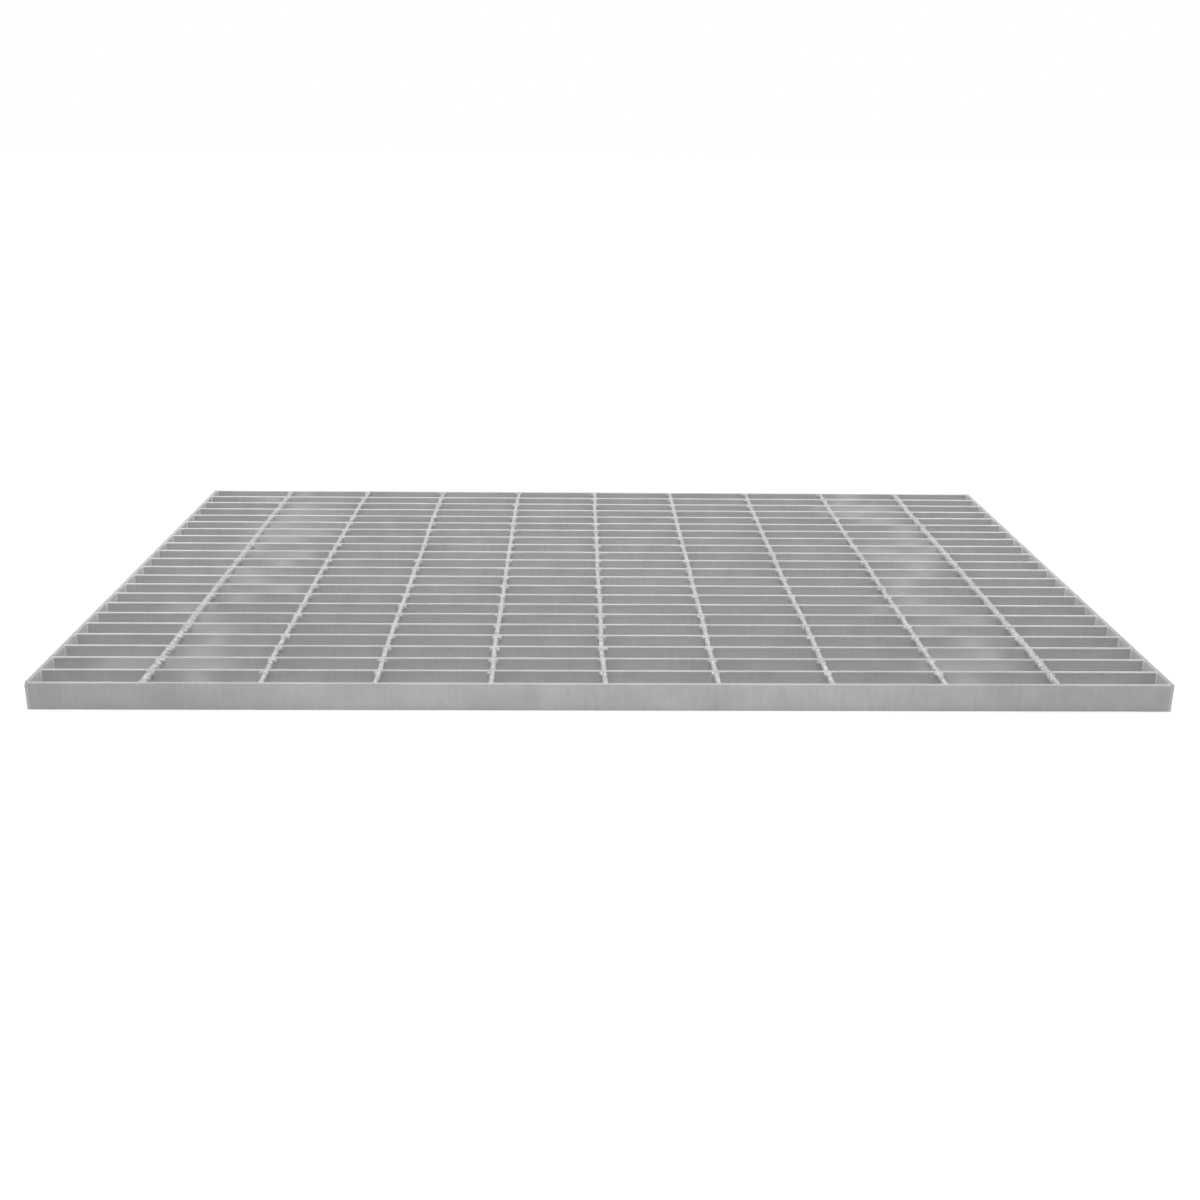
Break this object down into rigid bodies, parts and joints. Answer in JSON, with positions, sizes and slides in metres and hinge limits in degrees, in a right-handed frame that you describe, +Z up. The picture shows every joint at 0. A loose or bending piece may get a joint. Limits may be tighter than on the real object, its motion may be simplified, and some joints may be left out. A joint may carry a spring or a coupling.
{
  "type": "steel bar grating panel",
  "caption": "Flat walkway grating of steel bearing bars on edge, with twisted square cross rods forged in level with the top and a flat band across each end.",
  "frame": {"origin": "on the floor under the middle of the panel, at the middle of its length and width", "axes": "+X along the bearing bars towards the right end band, +Y along the cross rods towards the back bearing bar, +Z up out of the walking surface"},
  "size_m": [1, 0.663, 0.025],
  "materials": {
    "galvanised_steel": "hot-dip galvanised, clean and pale, satin"
  },
  "bodies": {
    "root": {"welded_grid": "galvanised_steel", "end_band_left": "galvanised_steel", "end_band_right": "galvanised_steel"}
  },
  "joints": []
}
